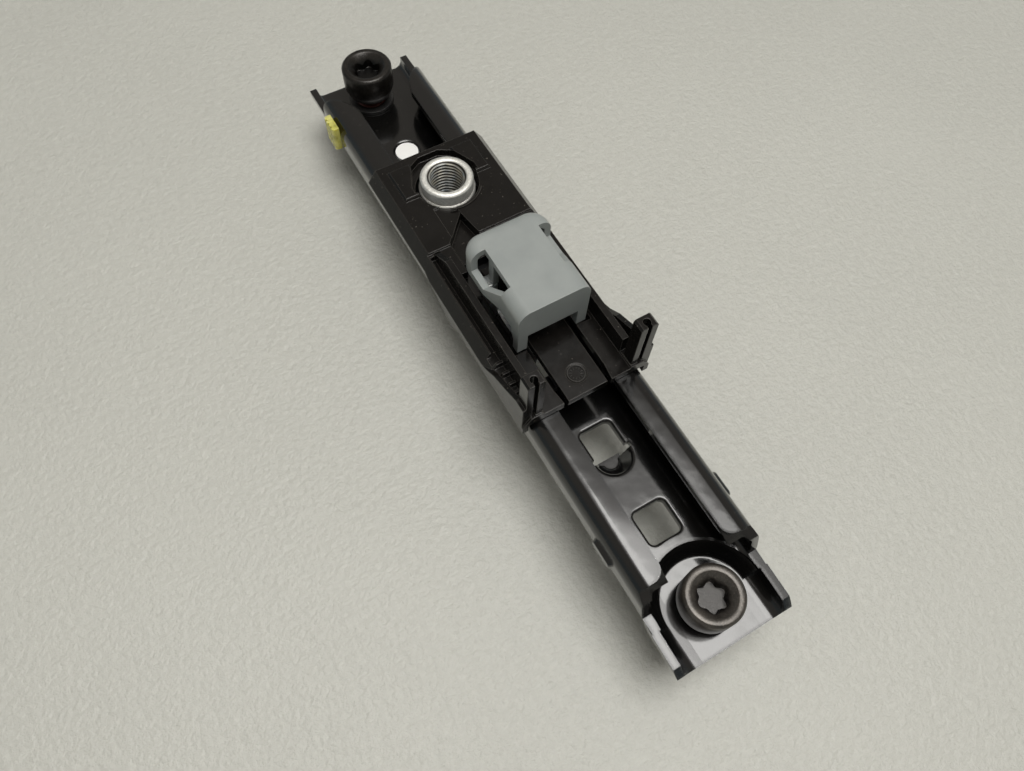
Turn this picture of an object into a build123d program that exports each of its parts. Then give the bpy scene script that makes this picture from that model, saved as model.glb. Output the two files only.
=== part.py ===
from build123d import *
import math
import os

# Seat belt height adjuster for a car's centre pillar: a pressed steel rail with two screws,
# and a slider with an anchor nut, a lock lever and a release button.
# Millimetres. The origin is the lower screw's axis on the pillar's plane. +Y runs up the rail
# and +Z faces the cabin. Left is -X.

# Rail, one sheet pressed to a channel with its lips turned in
SHEET = 2.2
RAIL_HALF_WIDTH = 17.7
RAIL_DEPTH = 12.4
RAIL_BEND = 4.6
LIP_HALF_GAP = 9.0
PAD_DROP = 4.8
SCREW_PITCH = 191.6
LOWER_END = 11.6
UPPER_END = 9.0

# Lower pad, drawn down to the pillar
PAD_SIDE = 2.7
PAD_SLOPE_RUN = 2.8
PAD_INNER_BEND = 1.2
PAD_RIM_BEND = 2.6
PAD_SKIRT = 2.4
PAD_SIDE_BEND = 6.4

# Ends of the lips and of the side walls
LIP_LOWER_END = 9.25
LIP_CORNER = 3.6
WALL_POINT_Y = 6.3
WALL_POINT_DROP = 2.8
WALL_FOOT_Y = 4.3
LOW_WALL_RISE = 0.9
LOW_WALL_SLOPE = 0.6
WALL_POINT_STEP = 0.5
END_CORNER = 2.4
LIP_UPPER_END = 178.0
LIP_CURVE = (7.8, 10.8)
LIP_CURVE_BELLY = (2.4, 6.2)
EAR_RISE = 3.75

# Lock windows and the hook pressed down beside one of them
WINDOW_PITCH = 25.8
WINDOW_WIDTH = 9.6
WINDOW_LENGTH = 9.7
WINDOW_COUNT = 4
WINDOW_CORNER = 1.5
WINDOW_RIM = 0.8
LOWEST_WINDOW_Y = 27.7
HOOK_WINDOW = 1
HOOK_FLOOR_RADIUS = 2.4
HOOK_LIP_HALF_WIDTH = 3.4
HOOK_RIM_RADIUS = 5.5
HOOK_SHEET = 1.7
HOOK_BEND = 0.7
HOOK_CLEAR = 0.5
HOOK_LIP = 1.1

# Bumps pressed out of both side walls
BUMP_Y = 22.2
BUMP_LENGTH = 9.0
BUMP_HEIGHT = 4.0
BUMP_PROUD = 1.1
BUMP_TAPER = 30
BUMP_LIFT = 0.6
BUMP_ROOT = 0.5

# Screws
SHANK_RADIUS = 5.0
HEAD_RADIUS = 8.0
HEAD_HEIGHT = 10.0
SCREW_LENGTH = 20.0
TIP_CHAMFER = 1.2
NECK_RADIUS = 4.5
HEAD_EDGE = 0.7
HEAD_TAPER = 2.6
HEAD_SEAT_RADIUS = 7.0
SOCKET_RADIUS = 4.3
SOCKET_DEPTH = 4.6
SOCKET_LOBES = 6
LOBE_RADIUS = 0.95
SOCKET_MOUTH = 5.9
UPPER_SCREW_LIFT = 4.1

# Captive sleeves on the screws
SLEEVE_WALL = 1.4
SLEEVE_FLANGE_RADIUS = 7.3
SLEEVE_FLANGE = 0.9
RUNNING_FIT = 0.05

# Plug in the upper hole, and clip on the left wall
PLUG_Y = 165.5
PLUG_RADIUS = 3.7
PLUG_SINK = 0.3
PLUG_COLLAR_RADIUS = 5.2
PLUG_COLLAR = 0.9
PLUG_STUB_RADIUS = 2.9
PLUG_RIM = 1.1
PLUG_TIP_CHAMFER = 0.6
CLIP_Y = 179.0
CLIP_LENGTH = 6.6
CLIP_THICKNESS = 2.3
CLIP_BOTTOM = 7.8
CLIP_TOP = 16.4
CLIP_STEM_RADIUS = 1.2
CLIP_STEM_ROOT = 0.5
CLIP_BARB_RADIUS = 1.6
CLIP_BARB = 0.7
CLIP_GROOVES = 3
CLIP_GROOVE_WIDTH = 0.8
CLIP_GROOVE_DEPTH = 0.5
CLIP_EDGE = 1.0

# Sliding plate
PLATE = 2.6
PLATE_SIDE_GAP = 2.3
PLATE_CORNER = 3.0
PLATE_START = 66.0
PLATE_END = 150.0
SLOT_START = 70.0
SLOT_HALF_WIDTH = 6.9
WIDE_SLOT_START = 93.0
WIDE_SLOT_END = 103.0
WIDE_SLOT_HALF_WIDTH = 9.4
EAR_THICKNESS = 2.0
EAR_LENGTH = 6.0
EAR_ROOT = 0.4

# Plastic runners on the plate's edges
RUNNER_GAP = 0.3
RUNNER_TOP_WALL = 0.85
RUNNER_INNER_GAP = 0.7
RUNNER_CHAMFER = 2.2
RUNNER_END = 1.0
RUNNER_END_CHAMFER = 0.6

# Anchor nut
NUT_Y = 136.6
NUT_RADIUS = 7.9
NUT_RING_RADIUS = 8.4
NUT_RING_BOTTOM = 0.8
NUT_RING = 2.0
NUT_HEIGHT = 24.0
NUT_SPIGOT_RADIUS = 6.5
NUT_RIVET_RADIUS = 7.5
NUT_RIVET = 0.8
THREAD_MINOR_RADIUS = 4.95
NUT_MOUTH_RADIUS = 6.0
NUT_EDGE = 0.5

# Lock lever, its pin and spring
PIVOT_Y = 88.0
PIN_RADIUS = 1.25
PIN_HEAD_RADIUS = 1.8
PIN_HEAD = 0.9
PIN_CLIP = 0.6
PIN_DROP = 2.0
PIN_GROOVE = 0.7
LEVER_BOSS_RADIUS = 1.9
LEVER_THICKNESS = 2.4
LEVER_ARM_LIFT = 0.9
LEVER_SIDE_GAP = 0.4
TONGUE_GAP = 0.3
TONGUE_START = 1.5
TONGUE_LENGTH = 5.8
TONGUE_WIDTH = 4.9
ARM_SIDE_GAP = 0.5
LUG_REACH = 7.0
LUG_LENGTH = 4.0
LUG_WIDTH = 2.4
LUG_GAP = 0.5
LUG_TOP = 27.0
LUG_EDGE = 0.6
LUG_HEAD = 4.0
LUG_HEAD_WIDTH = 3.5
FAR_ARM_RISE = 1.9
FAR_ARM_ROOT = 0.6

# Moulded housing
HOUSING_START = 58.6
HOUSING_END = 150.6
SKIRT_WALL = 1.7
LIP_CLEARANCE = 0.3
DECK = 2.4
SIDE_TOP = 20.6
FAR_TOP = 21.3
SIDE_SLOPE = (3.0, 4.3)
FAR_PANEL_START = 116.3
TONGUE_HALF_WIDTH = 6.0
GUIDE_SLOT = 1.9
GUIDE_SLOT_END = 1.2
GUIDE_SLOT_TAPER = 5.0
GUIDE_WALL_GAP = 0.95
GUIDE_WALL = 1.9
GUIDE_WALL_TOP = 26.5
GUIDE_WALL_START = 64.3
GUIDE_WALL_SLOPE = 8.0
GROOVE = 1.5
GROOVE_START = 65.0
GROOVE_FLOOR = 1.2
GROOVE_RIBS = (67.5, 70.2, 73.6, 77.0)
GROOVE_RIB = 0.8
GUSSET_WALL = 1.5
GUSSET_RUN = (17.4, 14.7, 10.6, 4.9, 0.0)
GUSSET_RISE = (0.0, 1.2, 4.3, 6.8, 9.4)
FOOT_START = 97.6
FOOT_END = 110.0
FOOT_RUN = 4.0
FOOT_TOE = 3.0
FOOT_DROP = 3.1
SKIRT_DROP = 3.4
SKIRT_LIFT = 0.4
WING_START = 59.3
WING_DEPTH = 3.7
WING_SETBACK = 6.0
WING_WIDTH = 5.1
WING_TOP = 38.0
WING_BOTTOM = 15.0
WING_EDGE = 0.6
KEYHOLE_WIDTH = 1.3
KEYHOLE_RADIUS = 1.05
KEYHOLE_DEPTH = 2.2
KEYHOLE_BOTTOM = 20.0
POCKET_GAP = 1.1
POCKET_DEPTH = 2.4
POCKET_END_WALL = 1.6
POCKET_FACET = (3.2, 6.5, 1.8)
POCKET_SIDE = (0.8, 2.3)
PAD_RISE = 0.9
PAD_INNER = 6.8
PAD_OUTER = 14.0
PAD_BACK = 1.1
PAD_LENGTH = 12.2
PAD_EDGE = 0.5
STAMP_Y = 64.6
STAMP_RADIUS = 2.9
STAMP_DEPTH = 0.25
RECESS_TIP = (-1.9, 8.7)
RECESS_SHOULDER = (-9.6, 0.5)
RECESS_RIGHT = -0.5
STEP_DEPTH = 0.6
STEP_LEFT = -8.2
STEP_START = 1.7
STEP_END = 13.2
BOSS_HALF_LENGTH = 7.6
BOSS_GAP = 0.4
BOSS_ROOT = 0.2

# Screws that hold the housing to the plate
CASE_SCREW_X = 5.2
CASE_SCREW_Y = 118.0
CASE_SCREW_RADIUS = 1.25
CASE_SCREW_HEAD_RADIUS = 2.5
CASE_SCREW_HEAD = 1.3
CASE_SCREW_EDGE = 0.5
CASE_SCREW_TIP_GAP = 0.6

# Release button and its spring
BUTTON_START = 77.2
BUTTON_LENGTH = 28.8
BUTTON_HALF_WIDTH = 12.2
BUTTON_NEAR_HALF_WIDTH = 10.7
BUTTON_FLARE = (9.8, 15.8)
BUTTON_TOP = 38.0
BUTTON_BOTTOM = 20.5
BUTTON_SIDE = 9.5
BUTTON_WALL = 2.0
BUTTON_CORNER = 5.2
BUTTON_EDGE = 3.6
BUTTON_MOUTH_HALF_WIDTH = 7.7
BUTTON_MOUTH = 11.0
BUTTON_GAP = 0.25
LEG_DEPTH = 2.3
LEG_GUSSET = (1.6, 4.5)
RIB_GAP = 0.4
RIB_LENGTH = 2.3
RIB_INSET = 0.3
SIDE_WINDOW_START = 9.1
SIDE_WINDOW_LENGTH = 13.1
SIDE_WINDOW_INNER = 8.0
SIDE_WINDOW_SILL = (2.5, 7.0)
SIDE_WINDOW_RUN = 6.7
SPRING_Y = 89.5
SPRING_RADIUS = 3.6
SPRING_WIRE = 0.45
SPRING_TURNS = 6
SPRING_SEAT = 1.4
SPRING_SEAT_GAP = 0.2
LOCK_SPRING_Y = 75.0
LOCK_SPRING_RADIUS = 2.2
LOCK_SPRING_WIRE = 0.35
LOCK_SPRING_TURNS = 4

# Levels and places that follow from the sizes above
BASE_BACK = PAD_DROP
BASE_FACE = BASE_BACK + SHEET
LIP_FACE = BASE_BACK + RAIL_DEPTH
LIP_BACK = LIP_FACE - SHEET
WALL_INNER = RAIL_HALF_WIDTH - SHEET
WALL_MIDDLE = BASE_BACK + RAIL_DEPTH / 2
PAD_RIM_RADIUS = RAIL_HALF_WIDTH - PAD_SIDE
PAD_FLOOR_RADIUS = PAD_RIM_RADIUS - PAD_SLOPE_RUN
PLATE_HALF_WIDTH = WALL_INNER - PLATE_SIDE_GAP
RUNNER_OUTER = WALL_INNER - RUNNER_GAP
RUNNER_INNER = SLOT_HALF_WIDTH + EAR_THICKNESS + PIN_HEAD + RUNNER_INNER_GAP
RAIL_TOP_Y = SCREW_PITCH + UPPER_END
HOLE_RADIUS = SHANK_RADIUS + RUNNING_FIT + SLEEVE_WALL + RUNNING_FIT
RUNNER_BOTTOM = BASE_FACE + RUNNER_GAP
RUNNER_TOP = LIP_BACK - RUNNER_GAP
PLATE_TOP = RUNNER_TOP - RUNNER_TOP_WALL
PLATE_BOTTOM = PLATE_TOP - PLATE
PIN_Z = PLATE_BOTTOM - PIN_DROP
DECK_BOTTOM = LIP_FACE + LIP_CLEARANCE
DECK_TOP = DECK_BOTTOM + DECK
SKIRT_INNER = RAIL_HALF_WIDTH + LIP_CLEARANCE
HOUSING_HALF_WIDTH = SKIRT_INNER + SKIRT_WALL
WING_INNER = HOUSING_HALF_WIDTH - WING_SETBACK
BUTTON_END = BUTTON_START + BUTTON_LENGTH
WELL_END = BUTTON_END + BUTTON_GAP
WELL_HALF_WIDTH = BUTTON_HALF_WIDTH + BUTTON_GAP
BUTTON_SIDE_BOTTOM = BUTTON_TOP - BUTTON_SIDE
GUIDE_WALL_X = WELL_HALF_WIDTH + GUIDE_WALL_GAP
GUIDE_WALL_OUTER = GUIDE_WALL_X + GUIDE_WALL
LEVER_ARM_BOTTOM = PLATE_BOTTOM - PIN_DROP - LEVER_THICKNESS / 2 + LEVER_ARM_LIFT
LEVER_ARM_TOP = LEVER_ARM_BOTTOM + LEVER_THICKNESS

# How far cutting shapes run past the faces they open, the level above everything,
# and how near an edge lies to the place where it is looked for
CUT_PAST = 1.0
HIGH = 60.0
NEAR = 0.1


def block(x, y, z):
    """A box between the pairs of limits given along X, Y and Z."""
    middle = [(low + high) / 2 for low, high in (x, y, z)]
    size = [high - low for low, high in (x, y, z)]
    return Pos(*middle) * Box(*size)


def both(solid):
    """A right-hand solid with its mirror image."""
    return solid + mirror(solid, Plane.YZ)


def along_rail(profile, low, high):
    """A bar between two places up the rail, from a profile drawn in X and Z."""
    section = Plane(origin=(0, high, 0), x_dir=(1, 0, 0), z_dir=(0, -1, 0))
    return extrude(section * profile, amount=high - low)


def side_plane(x, y=0, z=0):
    """A plane across the rail, drawn on in Y and Z."""
    return Plane(origin=(x, y, z), x_dir=(0, 1, 0), z_dir=(1, 0, 0))


def across(profile, low, high):
    """A slab between two places across the rail, from a profile drawn in Y and Z."""
    return extrude(side_plane(low) * profile, amount=high - low)


def upward(profile, low, high):
    """A prism between two levels, from a profile drawn in X and Y."""
    return extrude(Pos(0, 0, low) * profile, amount=high - low)


def polygon(*points):
    return make_face(Polyline(*points, close=True))


def disc(x, y, radius, low, high):
    return upward(Pos(x, y) * Circle(radius), low, high)


def channel_profile():
    """Section of the channel with its lips."""
    middle = Pos(0, BASE_BACK + RAIL_DEPTH / 2)
    outer = middle * RectangleRounded(2 * RAIL_HALF_WIDTH, RAIL_DEPTH, RAIL_BEND)
    inner = middle * RectangleRounded(2 * WALL_INNER, RAIL_DEPTH - 2 * SHEET, RAIL_BEND - SHEET)
    gap = Pos(0, LIP_FACE) * Rectangle(2 * LIP_HALF_GAP, 2 * (SHEET + CUT_PAST))
    return outer - inner - gap


def deep_profile():
    """Section of the lower end, where the base is down on the pillar."""
    outer = Pos(0, LIP_FACE / 2) * RectangleRounded(2 * RAIL_HALF_WIDTH, LIP_FACE, PAD_SIDE_BEND)
    inner = Pos(0, LIP_FACE / 2 + SHEET) * RectangleRounded(2 * WALL_INNER, LIP_FACE, PAD_SIDE_BEND - SHEET)
    return outer - inner


def drawn_profile(floor_radius, rim_radius, floor_face, sheet, skirt, tight, wide):
    """Half section of a round dish drawn down from the base, between its face and its back."""
    slope = math.atan2(BASE_FACE - floor_face, rim_radius - floor_radius)
    shift = sheet * math.tan(slope / 2)
    edge = rim_radius + skirt
    face = polygon(
        (0, floor_face),
        (floor_radius, floor_face),
        (rim_radius, BASE_FACE),
        (edge, BASE_FACE),
        (edge, BASE_FACE - sheet),
        (rim_radius + shift, BASE_FACE - sheet),
        (floor_radius + shift, floor_face - sheet),
        (0, floor_face - sheet),
    )
    corners = face.vertices()
    face = fillet(corners.sort_by_distance((floor_radius, floor_face))[0], tight)
    corners = face.vertices()
    face = fillet(corners.sort_by_distance((rim_radius, BASE_FACE))[0], wide)
    corners = face.vertices()
    face = fillet(corners.sort_by_distance((rim_radius + shift, BASE_FACE - sheet))[0], tight)
    corners = face.vertices()
    return fillet(corners.sort_by_distance((floor_radius + shift, floor_face - sheet))[0], wide)


def half_dish(face, up_rail):
    """Half a turn of a dish's section, on the upper or the lower side of its axis."""
    turn = Axis.Z if up_rail else Axis((0, 0, 0), (0, 0, -1))
    return revolve(Plane.XZ * face, turn, 180)


def window_end(index):
    return LOWEST_WINDOW_Y + index * WINDOW_PITCH


def cut_windows(rail):
    """The lock windows, with their rims rolled over."""
    for index in range(WINDOW_COUNT):
        middle = window_end(index) - WINDOW_LENGTH / 2
        shape = Pos(0, middle) * RectangleRounded(WINDOW_WIDTH, WINDOW_LENGTH, WINDOW_CORNER)
        rail -= upward(shape, BASE_BACK - CUT_PAST, BASE_FACE + CUT_PAST)
        rim = rail.edges().filter_by_position(Axis.Z, BASE_FACE - NEAR, BASE_FACE + NEAR)
        half_length = WINDOW_LENGTH / 2 + NEAR
        half_width = WINDOW_WIDTH / 2 + NEAR
        rim = rim.filter_by_position(Axis.Y, middle - half_length, middle + half_length)
        rim = rim.filter_by_position(Axis.X, -half_width, half_width)
        rail = fillet(rim, WINDOW_RIM)
    return rail


def press_hook(rail):
    """The hook: half a bowl pressed down at the lower side of its window, with a straight lip."""
    centre = window_end(HOOK_WINDOW) - WINDOW_LENGTH
    floor_face = HOOK_CLEAR + HOOK_SHEET
    skirt = HOOK_BEND + HOOK_SHEET
    section = drawn_profile(
        HOOK_FLOOR_RADIUS, HOOK_RIM_RADIUS, floor_face, HOOK_SHEET, skirt, HOOK_BEND, 2 * HOOK_BEND
    )
    void_radius = HOOK_RIM_RADIUS + HOOK_BEND
    rail -= disc(0, centre, void_radius, BASE_BACK - CUT_PAST, BASE_FACE + CUT_PAST) & block(
        (-HIGH, HIGH), (0, centre + WINDOW_CORNER), (0, HIGH)
    )
    rail += Pos(0, centre, 0) * half_dish(section, False)
    half = HOOK_LIP_HALF_WIDTH
    return rail + block((-half, half), (centre, centre + HOOK_LIP), (HOOK_CLEAR, floor_face))


def lower_wall_cut():
    """What is cut away above the side walls at the lower end."""
    low_wall = BASE_FACE + LOW_WALL_RISE
    end = -LOWER_END
    return across(
        polygon(
            (LIP_LOWER_END, HIGH),
            (LIP_LOWER_END, LIP_BACK + WALL_POINT_STEP),
            (WALL_POINT_Y, LIP_FACE - WALL_POINT_DROP),
            (WALL_FOOT_Y, low_wall),
            (end + END_CORNER, low_wall - LOW_WALL_SLOPE),
            (end, low_wall - LOW_WALL_SLOPE - END_CORNER),
            (end - CUT_PAST, low_wall - LOW_WALL_SLOPE - END_CORNER),
            (end - CUT_PAST, HIGH),
        ),
        -HIGH,
        HIGH,
    )


def upper_lip_cut():
    """What is cut away above the ears at the upper end, with the swept ends of the lips."""
    start = (LIP_HALF_GAP, LIP_UPPER_END)
    belly = (LIP_HALF_GAP + LIP_CURVE_BELLY[0], LIP_UPPER_END + LIP_CURVE_BELLY[1])
    stop = (LIP_HALF_GAP + LIP_CURVE[0], LIP_UPPER_END + LIP_CURVE[1])
    past = RAIL_TOP_Y + CUT_PAST
    side = RAIL_HALF_WIDTH + CUT_PAST
    outline = [
        ThreePointArc(start, belly, stop),
        Polyline(stop, (side, stop[1]), (side, past), (0, past), (0, start[1]), start),
    ]
    return both(upward(make_face(outline), BASE_FACE + EAR_RISE, HIGH))


def side_bump():
    """A bump on the right wall, pressed out from inside, and the hollow behind it."""
    level = WALL_MIDDLE + BUMP_LIFT
    outside = side_plane(RAIL_HALF_WIDTH - BUMP_ROOT, BUMP_Y, level)
    inside = side_plane(WALL_INNER - BUMP_ROOT, BUMP_Y, level)
    shape = SlotOverall(BUMP_LENGTH, BUMP_HEIGHT)
    hollow = SlotOverall(BUMP_LENGTH - SHEET, BUMP_HEIGHT - SHEET)
    proud = extrude(outside * shape, amount=BUMP_PROUD + BUMP_ROOT, taper=BUMP_TAPER)
    dent = extrude(inside * hollow, amount=BUMP_PROUD + BUMP_ROOT, taper=BUMP_TAPER / 2)
    return proud, dent


def make_rail():
    rail = along_rail(channel_profile(), 0, RAIL_TOP_Y)
    rail = cut_windows(rail)
    rail -= disc(0, PLUG_Y, PLUG_RADIUS + RUNNING_FIT, BASE_BACK - CUT_PAST, BASE_FACE + CUT_PAST)
    rim = rail.edges().filter_by(GeomType.CIRCLE)
    rail = fillet(rim.sort_by_distance((0, PLUG_Y, BASE_FACE))[0], PLUG_RIM)
    rail = press_hook(rail)
    rail -= disc(0, 0, PAD_RIM_RADIUS, -CUT_PAST, BASE_FACE + CUT_PAST)
    section = drawn_profile(
        PAD_FLOOR_RADIUS, PAD_RIM_RADIUS, SHEET, SHEET, PAD_SKIRT, PAD_INNER_BEND, PAD_RIM_BEND
    )
    rail += half_dish(section, True)
    rail += along_rail(deep_profile(), -LOWER_END, 0)
    rail -= lower_wall_cut()
    rail -= upper_lip_cut()
    lip_corners = rail.edges().filter_by(Axis.Z)
    for side in (-1, 1):
        corner = lip_corners.sort_by_distance((side * LIP_HALF_GAP, LIP_LOWER_END, LIP_FACE - SHEET / 2))[0]
        rail = fillet(corner, LIP_CORNER)
        lip_corners = rail.edges().filter_by(Axis.Z)
    for centre in (0, SCREW_PITCH):
        rail -= disc(0, centre, HOLE_RADIUS, -CUT_PAST, BASE_FACE + CUT_PAST)
    proud, dent = side_bump()
    rail += both(proud)
    rail -= both(dent)
    stem = side_plane(-RAIL_HALF_WIDTH - CUT_PAST, CLIP_Y, WALL_MIDDLE)
    rail -= extrude(stem * Circle(CLIP_STEM_RADIUS + RUNNING_FIT), amount=SHEET + 2 * CUT_PAST)
    return rail


def make_screw(seat, centre):
    """A cylinder head screw with a six-lobe socket, its head seated at the given level."""
    top = seat + HEAD_HEIGHT
    head = disc(0, centre, HEAD_RADIUS, seat + HEAD_TAPER, top)
    head = chamfer(head.edges().filter_by(GeomType.CIRCLE).sort_by(Axis.Z)[-1], HEAD_EDGE)
    head += Pos(0, centre, seat + HEAD_TAPER / 2) * Cone(HEAD_SEAT_RADIUS, HEAD_RADIUS, HEAD_TAPER)
    waist = SOCKET_RADIUS - LOBE_RADIUS
    mouth_depth = SOCKET_MOUTH - waist
    mouth = Pos(0, centre, top - mouth_depth / 2) * Cone(waist, SOCKET_MOUTH, mouth_depth)
    socket = Circle(waist)
    for index in range(SOCKET_LOBES):
        turn = index * 360 / SOCKET_LOBES
        socket += Rot(0, 0, turn) * Pos(waist, 0) * Circle(LOBE_RADIUS)
    shank = disc(0, centre, SHANK_RADIUS, seat - SCREW_LENGTH, seat)
    shank = chamfer(shank.edges().filter_by(GeomType.CIRCLE).sort_by(Axis.Z)[0], TIP_CHAMFER)
    around = disc(0, centre, HEAD_RADIUS, seat - SHEET, seat)
    shank -= around - disc(0, centre, NECK_RADIUS, seat - SHEET, seat)
    socket = upward(Pos(0, centre) * socket, top - SOCKET_DEPTH, top)
    return head + shank - mouth - socket


def make_sleeve(centre, back, flange):
    """A plastic sleeve that keeps a screw in its hole, with or without a flange on the sheet."""
    sleeve = disc(0, centre, HOLE_RADIUS - RUNNING_FIT, back, back + SHEET)
    if flange:
        sleeve += disc(0, centre, SLEEVE_FLANGE_RADIUS, back + SHEET, back + SHEET + SLEEVE_FLANGE)
    bore = SHANK_RADIUS + RUNNING_FIT
    return sleeve - disc(0, centre, bore, back - CUT_PAST, back + SHEET + 2 * CUT_PAST)


def make_plug():
    face = BASE_FACE - PLUG_SINK
    plug = disc(0, PLUG_Y, PLUG_RADIUS, BASE_BACK - PLUG_COLLAR, face)
    plug += disc(0, PLUG_Y, PLUG_COLLAR_RADIUS, BASE_BACK - PLUG_COLLAR, BASE_BACK)
    plug += disc(0, PLUG_Y, PLUG_STUB_RADIUS, HOOK_CLEAR, BASE_BACK)
    return chamfer(plug.edges().sort_by(Axis.Z)[0], PLUG_TIP_CHAMFER)


def make_clip():
    """The clip on the left wall, with a barbed stem through the wall."""
    outer = -RAIL_HALF_WIDTH - CLIP_THICKNESS
    start = CLIP_Y - CLIP_LENGTH / 2
    body = block((outer, -RAIL_HALF_WIDTH), (start, start + CLIP_LENGTH), (CLIP_BOTTOM, CLIP_TOP))
    body = fillet(body.edges().filter_by(Axis.Z).group_by(Axis.X)[0], CLIP_EDGE)
    pitch = CLIP_LENGTH / (CLIP_GROOVES + 1)
    for index in range(CLIP_GROOVES):
        groove = start + (index + 1) * pitch - CLIP_GROOVE_WIDTH / 2
        body -= block(
            (outer - CUT_PAST, outer + CLIP_GROOVE_DEPTH),
            (groove, groove + CLIP_GROOVE_WIDTH),
            (CLIP_BOTTOM - CUT_PAST, CLIP_TOP + CUT_PAST),
        )
    wall = side_plane(-RAIL_HALF_WIDTH - CLIP_STEM_ROOT, CLIP_Y, WALL_MIDDLE)
    barb = side_plane(-WALL_INNER, CLIP_Y, WALL_MIDDLE)
    stem = extrude(wall * Circle(CLIP_STEM_RADIUS), amount=SHEET + CLIP_STEM_ROOT + CLIP_BARB)
    return body + stem + extrude(barb * Circle(CLIP_BARB_RADIUS), amount=CLIP_BARB)


def case_screw_holes(radius, low, high):
    return both(disc(CASE_SCREW_X, CASE_SCREW_Y, radius, low, high))


def make_slide_plate():
    length = PLATE_END - PLATE_START
    outline = Pos(0, PLATE_START + length / 2) * RectangleRounded(2 * PLATE_HALF_WIDTH, length, PLATE_CORNER)
    plate = upward(outline, PLATE_BOTTOM, PLATE_TOP)
    levels = (PLATE_BOTTOM - CUT_PAST, PLATE_TOP + CUT_PAST)
    plate -= block((-SLOT_HALF_WIDTH, SLOT_HALF_WIDTH), (SLOT_START, WIDE_SLOT_END - CUT_PAST), levels)
    plate -= block((-WIDE_SLOT_HALF_WIDTH, WIDE_SLOT_HALF_WIDTH), (WIDE_SLOT_START, WIDE_SLOT_END), levels)
    plate -= disc(0, NUT_Y, NUT_SPIGOT_RADIUS, *levels)
    plate -= case_screw_holes(CASE_SCREW_RADIUS + RUNNING_FIT, *levels)
    ear = across(
        Pos(PIVOT_Y, PIN_Z) * Circle(PIN_HEAD_RADIUS)
        + Pos(PIVOT_Y, PIN_Z + PIN_DROP / 2) * Rectangle(2 * PIN_HEAD_RADIUS, PIN_DROP)
        + Pos(PIVOT_Y, PLATE_BOTTOM) * Rectangle(EAR_LENGTH, 2 * EAR_ROOT),
        SLOT_HALF_WIDTH,
        SLOT_HALF_WIDTH + EAR_THICKNESS,
    )
    ear -= across(Pos(PIVOT_Y, PIN_Z) * Circle(PIN_RADIUS + RUNNING_FIT), 0, HIGH)
    return plate + both(ear)


def make_nut():
    """The threaded anchor bush, riveted into the plate."""
    ring_bottom = LIP_FACE + NUT_RING_BOTTOM
    nut = disc(0, NUT_Y, NUT_RADIUS, PLATE_TOP, NUT_HEIGHT)
    nut += disc(0, NUT_Y, NUT_RING_RADIUS, ring_bottom, ring_bottom + NUT_RING)
    nut = chamfer(nut.edges().filter_by(GeomType.CIRCLE).group_by(Axis.Z)[-1], NUT_EDGE)
    nut += disc(0, NUT_Y, NUT_SPIGOT_RADIUS, PLATE_BOTTOM - NUT_RIVET, PLATE_TOP)
    nut += disc(0, NUT_Y, NUT_RIVET_RADIUS, PLATE_BOTTOM - NUT_RIVET, PLATE_BOTTOM)
    nut -= disc(0, NUT_Y, THREAD_MINOR_RADIUS, 0, HIGH)
    mouth = NUT_MOUTH_RADIUS - THREAD_MINOR_RADIUS
    return nut - Pos(0, NUT_Y, NUT_HEIGHT - mouth / 2) * Cone(THREAD_MINOR_RADIUS, NUT_MOUTH_RADIUS, mouth)


def make_runner():
    """The right-hand plastic shoe that carries the plate's edge in the channel."""
    outer = RUNNER_OUTER
    inner = RUNNER_INNER
    c = RUNNER_CHAMFER
    section = polygon(
        (inner, RUNNER_BOTTOM),
        (outer - c, RUNNER_BOTTOM),
        (outer, RUNNER_BOTTOM + c),
        (outer, RUNNER_TOP - c),
        (outer - c, RUNNER_TOP),
        (inner, RUNNER_TOP),
    )
    runner = along_rail(section, PLATE_START - RUNNER_END, PLATE_END)
    runner -= block(
        (inner - CUT_PAST, PLATE_HALF_WIDTH + RUNNING_FIT),
        (PLATE_START - RUNNING_FIT, PLATE_END + CUT_PAST),
        (PLATE_BOTTOM - RUNNING_FIT, PLATE_TOP + RUNNING_FIT),
    )
    ends = runner.edges().filter_by(Axis.Z).group_by(Axis.Y)[0]
    return chamfer(ends, RUNNER_END_CHAMFER)


def make_pin():
    """The lever's pin, headed on the left and grooved for its keeper on the right."""
    ear_face = SLOT_HALF_WIDTH + EAR_THICKNESS
    left = -ear_face - RUNNING_FIT
    right = ear_face + PIN_HEAD
    plane = side_plane(left, PIVOT_Y, PIN_Z)
    pin = extrude(plane * Circle(PIN_RADIUS), amount=right - left)
    pin += extrude(plane * Circle(PIN_HEAD_RADIUS), amount=-PIN_HEAD)
    groove = Circle(PIN_RADIUS + CUT_PAST) - Circle(PIN_RADIUS * PIN_GROOVE)
    return pin - extrude(side_plane(ear_face + RUNNING_FIT, PIVOT_Y, PIN_Z) * groove, amount=PIN_CLIP)


def make_pin_clip():
    """The open ring that keeps the pin in its ears."""
    start = SLOT_HALF_WIDTH + EAR_THICKNESS + 2 * RUNNING_FIT
    plane = side_plane(start, PIVOT_Y, PIN_Z)
    ring = Circle(PIN_HEAD_RADIUS) - Circle(PIN_RADIUS * PIN_GROOVE + RUNNING_FIT)
    ring -= Pos(PIN_HEAD_RADIUS, 0) * Rectangle(2 * PIN_HEAD_RADIUS, PIN_RADIUS)
    return extrude(plane * ring, amount=PIN_CLIP - 2 * RUNNING_FIT)


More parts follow.
